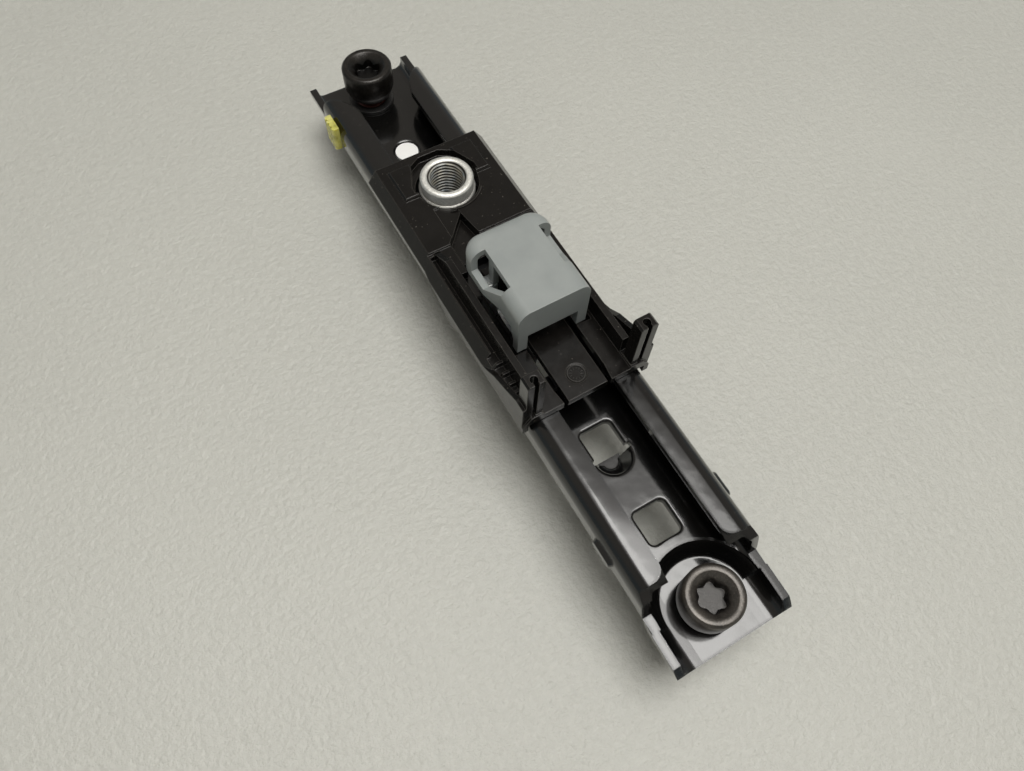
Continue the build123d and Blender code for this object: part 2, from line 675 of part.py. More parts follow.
def make_lever():
    """The lock lever: a tongue on its lower arm, and two lugs for the button on its upper arm."""
    tongue_bottom = BASE_FACE + TONGUE_GAP
    tongue_start = window_end(2) - WINDOW_LENGTH + TONGUE_START
    arm_half = WINDOW_WIDTH / 2 - ARM_SIDE_GAP
    body_half = SLOT_HALF_WIDTH - LEVER_SIDE_GAP
    lug_start = PIVOT_Y + LUG_REACH
    lug_end = lug_start + LUG_LENGTH
    far_bottom = PIN_Z + FAR_ARM_RISE
    far_top = far_bottom + LEVER_THICKNESS
    lever = across(Pos(PIVOT_Y, PIN_Z) * Circle(LEVER_BOSS_RADIUS), -body_half, body_half)
    tongue_end = tongue_start + TONGUE_LENGTH
    lever += block((-arm_half, arm_half), (tongue_end, PIVOT_Y), (LEVER_ARM_BOTTOM, LEVER_ARM_TOP))
    lever += block(
        (-TONGUE_WIDTH / 2, TONGUE_WIDTH / 2), (tongue_start, tongue_end), (tongue_bottom, LEVER_ARM_TOP)
    )
    upper_arm = polygon(
        (PIVOT_Y, PIN_Z - FAR_ARM_ROOT),
        (lug_start, far_bottom),
        (lug_end, far_bottom),
        (lug_end, far_top),
        (lug_start, far_top),
        (PIVOT_Y, PIN_Z + LEVER_BOSS_RADIUS),
    )
    lever += across(upper_arm, -body_half, body_half)
    inner = TONGUE_HALF_WIDTH + LUG_GAP
    outer = inner + LUG_WIDTH
    lever += both(block((body_half - LUG_GAP, outer), (lug_start, lug_end), (far_bottom, far_top)))
    lug = block((inner, outer), (lug_start, lug_end), (far_bottom, LUG_TOP))
    lug += block((inner, inner + LUG_HEAD_WIDTH), (lug_start, lug_end), (LUG_TOP - LUG_HEAD, LUG_TOP))
    lug = fillet(lug.edges().filter_by(Axis.X).group_by(Axis.Z)[-1], LUG_EDGE)
    lever += both(lug)
    return lever - across(Pos(PIVOT_Y, PIN_Z) * Circle(PIN_RADIUS + RUNNING_FIT), -HIGH, HIGH)


def make_spring(centre, bottom, top, radius, wire, turns):
    """A compression spring between two seats."""
    low = bottom + wire
    high = top - wire
    pitch = (high - low) / turns
    path = Pos(0, centre, low) * Helix(pitch, high - low, radius)
    plane = Plane(origin=path @ 0, z_dir=path % 0)
    return sweep(plane * Circle(wire), path=path, is_frenet=True)


def skirt_profile():
    """Side view of the skirt, drawn in Y and Z, with the foot at its upper end."""
    edge = LIP_FACE - SKIRT_DROP
    return polygon(
        (HOUSING_START, DECK_BOTTOM),
        (FOOT_END + FOOT_RUN, DECK_BOTTOM),
        (FOOT_END, LIP_FACE - SKIRT_LIFT),
        (FOOT_START, edge - FOOT_DROP + SKIRT_LIFT),
        (FOOT_START - FOOT_TOE, edge),
        (HOUSING_START, edge + SKIRT_LIFT),
    )


def housing_deck():
    """The deck over the lips: sloped sides, centre tongue, guide slots, button well and upper panel."""
    start = HOUSING_START
    across_all = (-HOUSING_HALF_WIDTH, HOUSING_HALF_WIDTH)
    deck = block(across_all, (start, HOUSING_END), (DECK_BOTTOM, SIDE_TOP))
    deck += block(across_all, (FAR_PANEL_START, HOUSING_END), (DECK_BOTTOM, FAR_TOP))
    deck += both(across(skirt_profile(), SKIRT_INNER, HOUSING_HALF_WIDTH))
    run, drop = SIDE_SLOPE
    slope = polygon(
        (HOUSING_HALF_WIDTH - run, FAR_TOP),
        (HOUSING_HALF_WIDTH, FAR_TOP - drop),
        (HOUSING_HALF_WIDTH + CUT_PAST, FAR_TOP - drop),
        (HOUSING_HALF_WIDTH + CUT_PAST, FAR_TOP + CUT_PAST),
        (HOUSING_HALF_WIDTH - run, FAR_TOP + CUT_PAST),
    )
    deck -= both(along_rail(slope, start - CUT_PAST, HOUSING_END + CUT_PAST))
    deck -= block((-GUIDE_WALL_X, GUIDE_WALL_X), (start - CUT_PAST, WELL_END), (DECK_TOP, HIGH))
    well = block((TONGUE_HALF_WIDTH, WELL_HALF_WIDTH), (BUTTON_START - BUTTON_GAP, WELL_END), (0, HIGH))
    slot = upward(
        polygon(
            (TONGUE_HALF_WIDTH, BUTTON_START),
            (TONGUE_HALF_WIDTH + GUIDE_SLOT, BUTTON_START),
            (TONGUE_HALF_WIDTH + GUIDE_SLOT, start + GUIDE_SLOT_TAPER),
            (TONGUE_HALF_WIDTH + GUIDE_SLOT_END, start - CUT_PAST),
            (TONGUE_HALF_WIDTH, start - CUT_PAST),
        ),
        0,
        HIGH,
    )
    return deck - both(well + slot)


def guide_wall():
    """The right-hand wall beside the button, sloped down to the upper panel."""
    top = FAR_PANEL_START
    return across(
        polygon(
            (GUIDE_WALL_START, DECK_BOTTOM),
            (top + 1, DECK_BOTTOM),
            (top + 1, SIDE_TOP),
            (top, SIDE_TOP),
            (top - GUIDE_WALL_SLOPE, GUIDE_WALL_TOP),
            (GUIDE_WALL_START, GUIDE_WALL_TOP),
        ),
        GUIDE_WALL_X,
        GUIDE_WALL_OUTER,
    )


def gusset():
    """The thin outer wall that rises to the right-hand post."""
    base = FAR_TOP - SIDE_SLOPE[1]
    post = WING_START + WING_DEPTH
    slope = [(post + run, base + rise) for run, rise in zip(GUSSET_RUN, GUSSET_RISE)]
    bottom = base - GUSSET_WALL
    corners = [(WING_START, slope[-1][1]), (WING_START, bottom), (slope[0][0], bottom)]
    return across(polygon(*slope, *corners), HOUSING_HALF_WIDTH - GUSSET_WALL, HOUSING_HALF_WIDTH)


def groove_cut():
    """The open groove outside the right guide wall, wider beside the gusset, between its cross ribs."""
    floor = DECK_BOTTOM + GROOVE_FLOOR
    inner = GUIDE_WALL_OUTER
    wide = HOUSING_HALF_WIDTH - GUSSET_WALL
    wide_end = WING_START + WING_DEPTH + GUSSET_RUN[0]
    cut = block((inner, inner + GROOVE), (wide_end - CUT_PAST, FAR_PANEL_START - CUT_PAST), (floor, HIGH))
    cut += block((inner, wide), (GROOVE_START, wide_end), (floor, HIGH))
    for place in GROOVE_RIBS:
        cut -= block((inner, wide), (place - GROOVE_RIB / 2, place + GROOVE_RIB / 2), (floor, SIDE_TOP))
    return cut


def make_wing():
    """The right-hand post for the trim, with a keyhole slot down its lower face."""
    outer = WING_INNER + WING_WIDTH
    wing = block((WING_INNER, outer), (WING_START, WING_START + WING_DEPTH), (DECK_BOTTOM, WING_TOP))
    wing += block((SKIRT_INNER, outer), (WING_START, WING_START + WING_DEPTH), (WING_BOTTOM, WING_TOP))
    wing = chamfer(wing.edges().filter_by(Axis.Y).group_by(Axis.Z)[-1], WING_EDGE)
    middle = WING_INNER + WING_WIDTH / 2
    slot = block(
        (middle - KEYHOLE_WIDTH / 2, middle + KEYHOLE_WIDTH / 2),
        (WING_START - CUT_PAST, WING_START + KEYHOLE_DEPTH),
        (KEYHOLE_BOTTOM, HIGH),
    )
    centre = WING_START + KEYHOLE_DEPTH - KEYHOLE_RADIUS / 2
    return wing - slot - disc(middle, centre, KEYHOLE_RADIUS, KEYHOLE_BOTTOM, HIGH)


def nut_pocket():
    """The hollow round the nut, six-sided towards the rail's upper end."""
    clear = NUT_RING_RADIUS + POCKET_GAP
    far = HOUSING_END - NUT_Y - POCKET_END_WALL
    tip, shoulder, drop = POCKET_FACET
    side, rise = POCKET_SIDE
    right = [(tip, far), (shoulder, far - drop), (clear + side, rise), (clear + side, 0)]
    left = [(-x, y) for x, y in reversed(right)]
    outline = make_face(Polyline(*right, *left, close=True))
    pocket = upward(Pos(0, NUT_Y) * outline, FAR_TOP - POCKET_DEPTH, HIGH)
    return pocket + disc(0, NUT_Y, clear, 0, HIGH)


def lever_recess():
    """The dark recess above the button, left of the middle, and the shallow step beside it."""
    panel = FAR_PANEL_START
    deep = polygon(
        (RECESS_TIP[0], panel + RECESS_TIP[1]),
        (RECESS_SHOULDER[0], panel + RECESS_SHOULDER[1]),
        (RECESS_SHOULDER[0], WELL_END - CUT_PAST),
        (RECESS_RIGHT, WELL_END - CUT_PAST),
        (RECESS_RIGHT, panel),
    )
    shallow = polygon(
        (STEP_LEFT, panel + STEP_END),
        (STEP_LEFT, panel + STEP_START),
        (RECESS_TIP[0], panel + RECESS_TIP[1]),
        (RECESS_TIP[0], panel + STEP_END),
    )
    return upward(deep, DECK_BOTTOM, HIGH) + upward(shallow, FAR_TOP - STEP_DEPTH, HIGH)


def make_housing():
    """The moulded cover that rides over the lips and carries the trim posts."""
    pad_start = NUT_Y - PAD_BACK
    pad_end = pad_start + PAD_LENGTH
    pads = block((PAD_INNER, PAD_OUTER), (pad_start, pad_end), (SIDE_TOP, FAR_TOP + PAD_RISE))
    pads = chamfer(pads.faces().sort_by(Axis.Z)[-1].edges(), PAD_EDGE)
    housing = housing_deck() + both(pads)
    housing -= both(groove_cut())
    housing += both(guide_wall() + gusset() + make_wing())
    housing -= nut_pocket()
    housing -= lever_recess()
    boss_half = LIP_HALF_GAP - BOSS_GAP
    boss_span = (CASE_SCREW_Y - BOSS_HALF_LENGTH, CASE_SCREW_Y + BOSS_HALF_LENGTH)
    housing += block((-boss_half, boss_half), boss_span, (PLATE_TOP, DECK_BOTTOM + BOSS_ROOT))
    housing -= case_screw_holes(CASE_SCREW_RADIUS + RUNNING_FIT, 0, DECK_BOTTOM - CASE_SCREW_TIP_GAP / 2)
    housing -= disc(0, STAMP_Y, STAMP_RADIUS, DECK_TOP - STAMP_DEPTH, HIGH)
    seat = SPRING_RADIUS - SPRING_WIRE - SPRING_SEAT_GAP
    return housing + disc(0, SPRING_Y, seat, DECK_BOTTOM, DECK_TOP + SPRING_SEAT)


def make_case_screw(side):
    """A small screw from the back of the plate into the housing's boss."""
    x = side * CASE_SCREW_X
    head = disc(x, CASE_SCREW_Y, CASE_SCREW_HEAD_RADIUS, PLATE_BOTTOM - CASE_SCREW_HEAD, PLATE_BOTTOM)
    head = fillet(head.edges().sort_by(Axis.Z)[0], CASE_SCREW_EDGE)
    return head + disc(x, CASE_SCREW_Y, CASE_SCREW_RADIUS, PLATE_BOTTOM, DECK_BOTTOM - CASE_SCREW_TIP_GAP)


def button_block(inset, top):
    """The button's block drawn in by an inset, flared, and rounded except along its lower face."""
    near = BUTTON_NEAR_HALF_WIDTH - inset
    half = BUTTON_HALF_WIDTH - inset
    start = BUTTON_START + inset
    end = BUTTON_END - inset
    flare_start, flare_end = (BUTTON_START + run for run in BUTTON_FLARE)
    right = [(near, start), (near, flare_start), (half, flare_end), (half, end)]
    left = [(-x, y) for x, y in reversed(right)]
    outline = make_face(Polyline(*right, *left, close=True))
    outline = fillet(outline.vertices().group_by(Axis.Y)[-1], BUTTON_CORNER - inset)
    solid = upward(outline, BUTTON_BOTTOM - inset, top)
    edges = solid.faces().sort_by(Axis.Z)[-1].edges()
    return fillet(edges.sort_by(Axis.Y)[1:], BUTTON_EDGE - inset)


def button_skirt_cut():
    """What is cut away below the button's sides, behind its two legs."""
    back = BUTTON_START + LEG_DEPTH
    run, drop = LEG_GUSSET
    return across(
        polygon(
            (back, 0),
            (back, BUTTON_SIDE_BOTTOM - drop),
            (back + run, BUTTON_SIDE_BOTTOM),
            (BUTTON_END + CUT_PAST, BUTTON_SIDE_BOTTOM),
            (BUTTON_END + CUT_PAST, 0),
        ),
        -HIGH,
        HIGH,
    )


def side_window():
    """The window in the button's right side, with a sill that rises towards the lower face."""
    start = BUTTON_START + SIDE_WINDOW_START
    end = start + SIDE_WINDOW_LENGTH
    low, high = (BUTTON_SIDE_BOTTOM + rise for rise in SIDE_WINDOW_SILL)
    return across(
        polygon((start, HIGH), (start, high), (start + SIDE_WINDOW_RUN, low), (end, low), (end, HIGH)),
        SIDE_WINDOW_INNER,
        HIGH,
    )


def make_button():
    """The release button: an open shell with two legs, side windows and ribs that push the lever."""
    button = button_block(0, BUTTON_TOP) - button_block(BUTTON_WALL, BUTTON_TOP - BUTTON_WALL)
    button -= button_skirt_cut()
    mouth = BUTTON_MOUTH_HALF_WIDTH
    mouth_top = BUTTON_TOP - BUTTON_MOUTH
    leg = (BUTTON_START - CUT_PAST, BUTTON_START + LEG_DEPTH + CUT_PAST)
    button -= block((-mouth, mouth), leg, (0, mouth_top))
    button -= both(side_window())
    under = BUTTON_TOP - BUTTON_WALL
    rib_start = PIVOT_Y + LUG_REACH
    button += both(
        block(
            (TONGUE_HALF_WIDTH + RIB_INSET, SIDE_WINDOW_INNER),
            (rib_start, rib_start + RIB_LENGTH),
            (LUG_TOP + RIB_GAP, under + RIB_INSET),
        )
    )
    seat = SPRING_RADIUS - SPRING_WIRE - SPRING_SEAT_GAP
    return button + disc(0, SPRING_Y, seat, under - SPRING_SEAT, under + RIB_INSET)


def make_parts():
    runner = make_runner()
    return {
        "rail": make_rail(),
        "lower_bolt": make_screw(SHEET, 0),
        "upper_bolt": make_screw(BASE_FACE + UPPER_SCREW_LIFT, SCREW_PITCH),
        "lower_sleeve": make_sleeve(0, 0, False),
        "upper_sleeve": make_sleeve(SCREW_PITCH, BASE_BACK, True),
        "locating_plug": make_plug(),
        "side_clip": make_clip(),
        "slide_plate": make_slide_plate(),
        "anchor_nut": make_nut(),
        "slider_housing": make_housing(),
        "right_runner": runner,
        "left_runner": mirror(runner, Plane.YZ),
        "lever_pin": make_pin(),
        "pin_clip": make_pin_clip(),
        "left_case_screw": make_case_screw(-1),
        "right_case_screw": make_case_screw(1),
        "lock_lever": make_lever(),
        "release_button": make_button(),
        "button_spring": make_spring(
            SPRING_Y, DECK_TOP, BUTTON_TOP - BUTTON_WALL, SPRING_RADIUS, SPRING_WIRE, SPRING_TURNS
        ),
        "lock_spring": make_spring(
            LOCK_SPRING_Y,
            LEVER_ARM_TOP,
            DECK_BOTTOM,
            LOCK_SPRING_RADIUS,
            LOCK_SPRING_WIRE,
            LOCK_SPRING_TURNS,
        ),
    }


os.makedirs("parts", exist_ok=True)
for name, shape in make_parts().items():
    shape.label = name
    export_step(shape, f"parts/{name}.step")
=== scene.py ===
import bpy
import bmesh
import math
from mathutils import Matrix, Vector


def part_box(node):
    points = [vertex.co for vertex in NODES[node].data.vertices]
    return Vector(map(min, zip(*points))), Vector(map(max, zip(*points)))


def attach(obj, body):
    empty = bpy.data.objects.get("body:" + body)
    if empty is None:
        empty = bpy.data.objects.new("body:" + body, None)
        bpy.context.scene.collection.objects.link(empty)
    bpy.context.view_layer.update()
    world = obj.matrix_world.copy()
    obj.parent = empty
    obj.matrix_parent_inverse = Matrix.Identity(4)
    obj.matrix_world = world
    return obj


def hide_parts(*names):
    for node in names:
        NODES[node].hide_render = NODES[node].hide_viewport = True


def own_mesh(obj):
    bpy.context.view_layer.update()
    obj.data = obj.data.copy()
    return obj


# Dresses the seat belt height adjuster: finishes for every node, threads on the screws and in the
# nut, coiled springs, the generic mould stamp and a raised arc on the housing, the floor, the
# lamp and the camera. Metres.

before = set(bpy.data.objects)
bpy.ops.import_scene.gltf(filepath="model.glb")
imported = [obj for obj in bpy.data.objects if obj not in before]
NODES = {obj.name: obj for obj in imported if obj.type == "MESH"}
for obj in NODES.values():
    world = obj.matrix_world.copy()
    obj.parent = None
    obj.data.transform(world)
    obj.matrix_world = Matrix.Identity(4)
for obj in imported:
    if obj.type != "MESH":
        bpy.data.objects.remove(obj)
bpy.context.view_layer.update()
MM = 0.001

# The photograph's frame and the camera fitted to it
IMAGE_WIDTH = 1024
FOCAL_PIXELS = 803.56
SENSOR = 36.0
CAMERA_PLACE = Vector((-68.04, -8.38, 207.18)) * MM
CAMERA_YAW = math.radians(33.37)
CAMERA_DOWN = math.radians(63.45)
CAMERA_ROLL = math.radians(3.60)
CAMERA_NEAR = 0.01

# Floor, lamp and the room's tones
FLOOR_SIZE = 3.0
FLOOR_TONE = (0.475, 0.477, 0.440)
FLOOR_DIM = 0.93
FLOOR_PALE = 1.10
FLOOR_ROUGHNESS = 0.42
LAMP_PLACE = (0.09, -0.06, 1.1)
LAMP_SIZE = 0.72
LAMP_POWER = 8.0
LAMP_TONE = (1.0, 0.985, 0.955)
LAMP_AIM = Vector((0, 0.09, 0))
LOW_TONE = (0.19, 0.222, 0.232)
MIDDLE_TONE = (0.29, 0.27, 0.24)
HIGH_TONE = (2.1, 2.06, 1.98)
MIDDLE_REACH = (0.1, 0.6)
GLOW_REACH = (0.88, 0.97)

# Threads
SCREW_THREAD = {"pitch": 1.5 * MM, "depth": 0.85 * MM}
NUT_THREAD = {"pitch": 1.27 * MM, "depth": 0.6 * MM}
SCREW_FADE = 0.4 * MM
NUT_FADE = 0.1 * MM
THREAD_CREST = 1.35
THREAD_FLANK = 2.7

# Meshes: points round a turned piece, rows in a thread's pitch, and the angle that stays sharp
AROUND = 96
ROWS_PER_PITCH = 10
SMOOTH_ANGLE = math.radians(38)

# Screw head, as in the solids
HEAD_RADIUS = 8.0 * MM
HEAD_HEIGHT = 10.0 * MM
HEAD_EDGE = 0.7 * MM
HEAD_TAPER = 2.6 * MM
HEAD_SEAT_RADIUS = 7.0 * MM
SOCKET_RADIUS = 4.3 * MM
SOCKET_DEPTH = 4.6 * MM
SOCKET_MOUTH = 5.9 * MM
SOCKET_LOBES = 6
LOBE_DEPTH = 1.05 * MM
SHANK_RADIUS = 5.0 * MM
NECK_RADIUS = 4.5 * MM
NECK_LENGTH = 2.2 * MM
TIP_CHAMFER = 1.2 * MM
EASE = 0.1 * MM
SOCKET_CHAMFER = 0.93

# Phosphate on the screws: how dark the painted shade near the axis is and where it fades out (it
# fills the socket and reaches the thread's roots), the crystals and the band under the upper head
SOCKET_PAINTED_SHADE = 0.35
SOCKET_PAINTED_SHADE_REACH = (SOCKET_MOUTH - 2.2 * MM, SOCKET_MOUTH - 1.2 * MM)
CRYSTAL_GAIN = 2.6
BAND_LENGTH = 6.0 * MM
BAND_TOP_FADE = 0.2 * MM
BAND_END_FADE = 1.0 * MM

# Anchor nut, as in the solids
NUT_RADIUS = 7.9 * MM
NUT_RING_RADIUS = 8.4 * MM
NUT_RING_BOTTOM = 18.0 * MM
NUT_RING = 2.0 * MM
NUT_SPIGOT_RADIUS = 6.5 * MM
NUT_RIVET_RADIUS = 7.5 * MM
NUT_RIVET = 0.8 * MM
NUT_MINOR = 4.95 * MM
NUT_MOUTH = 6.0 * MM
NUT_EDGE = 0.5 * MM
NUT_RING_ROUND = 0.35 * MM
NUT_LEAD = 0.3 * MM

# Springs, as in the solids, and how far each shortens when the button is pressed
COIL_STEPS = 24
COIL_SIDES = 10
BUTTON_COIL = {"wire": 0.45 * MM, "turns": 6, "stroke": 3.0 * MM}
LOCK_COIL = {"wire": 0.35 * MM, "turns": 4, "stroke": 5.2 * MM}

# Lips of the rail, slightly crowned between their edges
LIP_INNER = 9.0 * MM
LIP_OUTER = 17.7 * MM
LIP_CROWN = 0.28 * MM

# Raised arc on the housing beside the nut
ARC_RADIUS = (10.1 * MM, 10.5 * MM)
ARC_TURNS = (math.radians(-112), math.radians(-38))
ARC_STEPS = 28
ARC_FOOT = 21.2 * MM
ARC_TOP = 21.6 * MM

# Mould stamp in the housing
STAMP_CENTRE = Vector((0.0, 64.6, 0.0)) * MM
STAMP_FLOOR = 19.65 * MM
STAMP_RAISED = 0.24 * MM
STAMP_SUNK = 0.05 * MM
STAMP_RIM = (2.25 * MM, 2.5 * MM)
STAMP_TICK = (1.3 * MM, 1.9 * MM)
STAMP_TICK_WIDTH = 0.16 * MM
STAMP_TICKS = 12


class Nodes:
    """A short hand for one material's node tree."""

    def __init__(self, name):
        self.material = bpy.data.materials.new(name)
        self.material.use_nodes = True
        self.tree = self.material.node_tree
        self.shader = self.tree.nodes["Principled BSDF"]
        self.place = self.tree.nodes.new("ShaderNodeTexCoord").outputs["Object"]

    def add(self, kind, **settings):
        node = self.tree.nodes.new(kind)
        for key, value in settings.items():
            if key in node.inputs:
                node.inputs[key].default_value = value
            else:
                setattr(node, key, value)
        return node

    def link(self, output, target):
        self.tree.links.new(output, target)

    def noise(self, scale, detail=3.0, rough=0.55, stretch=None):
        node = self.add("ShaderNodeTexNoise", Scale=scale, Detail=detail, Roughness=rough)
        place = self.place
        if stretch:
            mapping = self.add("ShaderNodeMapping", Scale=stretch)
            self.link(place, mapping.inputs["Vector"])
            place = mapping.outputs["Vector"]
        self.link(place, node.inputs["Vector"])
        return node.outputs["Fac"]

    def span(self, value, low, high, start=0.0, end=1.0):
        node = self.add("ShaderNodeMapRange")
        limits = {"From Min": start, "From Max": end, "To Min": low, "To Max": high}
        for key, number in limits.items():
            node.inputs[key].default_value = number
        self.link(value, node.inputs["Value"])
        return node.outputs["Result"]

    def clouded(self, value):
        """The middle of a noise's range spread over 0 to 1."""
        return self.span(value, 0.0, 1.0, 0.3, 0.7)

    def blend(self, factor, first, second):
        node = self.add("ShaderNodeMix", data_type="RGBA")
        self.link(factor, node.inputs[0])
        for socket, value in ((node.inputs[6], first), (node.inputs[7], second)):
            if isinstance(value, tuple):
                socket.default_value = (*value, 1.0)
            else:
                self.link(value, socket)
        return node.outputs[2]

    def edges(self, radius, full):
        """How near a point is to a sharp edge, from the turn between true and softened normals."""
        soft = self.add("ShaderNodeBevel", samples=4, Radius=radius)
        true = self.add("ShaderNodeNewGeometry").outputs["Normal"]
        dot = self.add("ShaderNodeVectorMath", operation="DOT_PRODUCT")
        self.link(soft.outputs["Normal"], dot.inputs[0])
        self.link(true, dot.inputs[1])
        return self.span(dot.outputs["Value"], full, 0.0, 0.80, 0.995)

    def bump(self, height, strength, distance, normal=None):
        node = self.add("ShaderNodeBump", Strength=strength, Distance=distance)
        self.link(height, node.inputs["Height"])
        if normal is not None:
            self.link(normal, node.inputs["Normal"])
        self.link(node.outputs["Normal"], self.shader.inputs["Normal"])
        return node.outputs["Normal"]

    def rounded(self, radius):
        return self.add("ShaderNodeBevel", samples=6, Radius=radius).outputs["Normal"]

    def crown(self, low, high):
        """A gentle swell between two distances from the middle plane, 0 at both and 1 midway."""
        parts = self.add("ShaderNodeSeparateXYZ")
        self.link(self.place, parts.inputs[0])
        side = self.add("ShaderNodeMath", operation="ABSOLUTE")
        self.link(parts.outputs["X"], side.inputs[0])
        across = self.span(side.outputs[0], -1.0, 1.0, low, high)
        square = self.add("ShaderNodeMath", operation="MULTIPLY")
        self.link(across, square.inputs[0])
        self.link(across, square.inputs[1])
        swell = self.add("ShaderNodeMath", operation="SUBTRACT")
        swell.inputs[0].default_value = 1.0
        self.link(square.outputs[0], swell.inputs[1])
        return swell.outputs[0]

    def height(self):
        """Level above the pillar's plane."""
        parts = self.add("ShaderNodeSeparateXYZ")
        self.link(self.place, parts.inputs[0])
        return parts.outputs["Z"]

    def away(self, axis):
        """Distance from a vertical axis."""
        shift = self.add("ShaderNodeVectorMath", operation="SUBTRACT")
        shift.inputs[1].default_value = axis
        self.link(self.place, shift.inputs[0])
        flat = self.add("ShaderNodeVectorMath", operation="MULTIPLY")
        flat.inputs[1].default_value = (1, 1, 0)
        self.link(shift.outputs["Vector"], flat.inputs[0])
        size = self.add("ShaderNodeVectorMath", operation="LENGTH")
        self.link(flat.outputs["Vector"], size.inputs[0])
        return size.outputs["Value"]


def gloss_paint(name):
    """Dipped black paint on pressed steel: deep gloss with a faint ripple and specks of dust."""
    m = Nodes(name)
    cloud = m.noise(55.0, 4.0)
    speck = m.span(m.noise(1200.0, 1.0), 0.0, 1.0, 0.73, 0.79)
    colour = m.blend(m.clouded(cloud), (0.0025, 0.0026, 0.0028), (0.0045, 0.0043, 0.0040))
    colour = m.blend(m.span(speck, 0.0, 0.4), colour, (0.05, 0.048, 0.044))
    m.link(colour, m.shader.inputs["Base Color"])
    m.link(m.span(m.noise(130.0, 5.0, 0.7), 0.10, 0.20, 0.3, 0.75), m.shader.inputs["Roughness"])
    m.shader.inputs["Specular IOR Level"].default_value = 0.3
    m.shader.inputs["Coat Weight"].default_value = 1.0
    m.shader.inputs["Coat Roughness"].default_value = 0.09
    crowned = m.bump(m.crown(LIP_INNER, LIP_OUTER), 1.0, LIP_CROWN, m.rounded(0.0013))
    waved = m.bump(m.noise(75.0, 2.0), 0.5, 0.0006, crowned)
    m.bump(m.noise(300.0, 2.0), 0.10, 0.0004, waved)
    return m.material


def satin_paint(name):
    """Even black paint with less shine."""
    m = Nodes(name)
    colour = m.blend(m.noise(90.0), (0.002, 0.002, 0.002), (0.005, 0.005, 0.0048))
    m.link(colour, m.shader.inputs["Base Color"])
    m.link(m.span(m.noise(200.0, 4.0), 0.22, 0.38), m.shader.inputs["Roughness"])
    m.bump(m.noise(900.0), 0.08, 0.0002, m.rounded(0.0002))
    return m.material


def phosphate(node, dark, light, rubbed_and_highlit, band=None):
    """Black-brown phosphate with fine crystals, lighter on the edges from wear and a painted
    highlight, and painted shade near the axis: in the socket, the thread's roots and the tip.
    """
    low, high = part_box(node)
    m = Nodes(f"{node}_phosphate")
    grain = m.noise(2200.0, 3.0, 0.7)
    patch = m.noise(260.0, 4.0)
    colour = m.blend(m.clouded(patch), dark, light)
    crystals = tuple(c * CRYSTAL_GAIN for c in light)
    colour = m.blend(m.span(grain, 0.0, 0.5, 0.5, 0.8), colour, crystals)
    # Edges lighten: partly wear, partly a painted highlight along them.
    colour = m.blend(m.edges(0.0003, 0.6), colour, rubbed_and_highlit)
    # Painted shade: the colour darkens close to the screw's axis, over the socket's floor and walls,
    # and by the same measure in the thread's roots and at the tip.
    inside = m.span(m.away(axis_of(low, high)), 1.0, 0.0, *SOCKET_PAINTED_SHADE_REACH)
    colour = m.blend(inside, colour, tuple(c * SOCKET_PAINTED_SHADE for c in dark))
    if band:
        seat = high.z - HEAD_HEIGHT
        end = seat - BAND_LENGTH
        below = m.span(m.height(), 1.0, 0.0, seat - BAND_TOP_FADE, seat)
        above = m.span(m.height(), 0.0, 1.0, end, end + BAND_END_FADE)
        both = m.add("ShaderNodeMath", operation="MULTIPLY")
        m.link(below, both.inputs[0])
        m.link(above, both.inputs[1])
        colour = m.blend(both.outputs[0], colour, band)
    m.link(colour, m.shader.inputs["Base Color"])
    m.shader.inputs["Metallic"].default_value = 0.5
    m.shader.inputs["Specular IOR Level"].default_value = 0.7
    m.link(m.span(grain, 0.20, 0.42), m.shader.inputs["Roughness"])
    m.bump(grain, 0.20, 0.0002, m.rounded(0.0002))
    return m.material


def zinc(name, tone, rough):
    """Bright zinc plate with turning marks and a slightly blue and yellow bloom."""
    m = Nodes(name)
    bloom = m.noise(240.0, 3.0)
    cool = tuple(c * k for c, k in zip(tone, (0.93, 0.98, 1.02)))
    warm = tuple(c * k for c, k in zip(tone, (1.0, 0.97, 0.90)))
    colour = m.blend(m.span(bloom, 0.0, 1.0, 0.35, 0.65), cool, warm)
    colour = m.blend(m.span(m.noise(1900.0, 2.0), 0.0, 0.25, 0.5, 0.8), colour, (0.35, 0.34, 0.32))
    m.link(colour, m.shader.inputs["Base Color"])
    m.shader.inputs["Metallic"].default_value = 1.0
    turned = m.noise(600.0, 3.0, 0.6, (1.0, 1.0, 9.0))
    m.link(m.span(turned, rough, rough + 0.2), m.shader.inputs["Roughness"])
    m.bump(turned, 0.12, 0.0002, m.rounded(0.0002))
    return m.material


def nut_zinc(name):
    """Zinc on the nut: bright and matt on its top face, duller down the threaded bore, with painted
    shade darkening the thread's roots.
    """
    low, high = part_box("anchor_nut")
    m = Nodes(name)
    centre = axis_of(low, high)
    speck = m.noise(1500.0, 3.0, 0.7)
    face = m.blend(m.span(speck, 0.0, 1.0, 0.35, 0.6), (0.66, 0.655, 0.62), (0.86, 0.855, 0.81))
    patch = m.clouded(m.noise(330.0, 4.0))
    crest = m.blend(patch, (0.78, 0.72, 0.58), (0.60, 0.66, 0.70))
    # Painted shade: the bore's colour darkens from the thread's crests into its roots.
    depth = m.span(m.away(centre), 0.0, 1.0, NUT_MINOR, NUT_MINOR + NUT_THREAD["depth"] * 0.8)
    root_shade = m.blend(depth, crest, (0.035, 0.030, 0.026))
    bore = m.span(m.away(centre), 1.0, 0.0, NUT_MOUTH - 0.35 * MM, NUT_MOUTH - 0.1 * MM)
    m.link(m.blend(bore, face, root_shade), m.shader.inputs["Base Color"])
    m.shader.inputs["Metallic"].default_value = 0.85
    m.link(m.span(speck, 0.38, 0.58), m.shader.inputs["Roughness"])
    m.bump(m.noise(700.0, 4.0, 0.6, (1.0, 1.0, 5.0)), 0.15, 0.0002, m.rounded(0.00015))
    return m.material


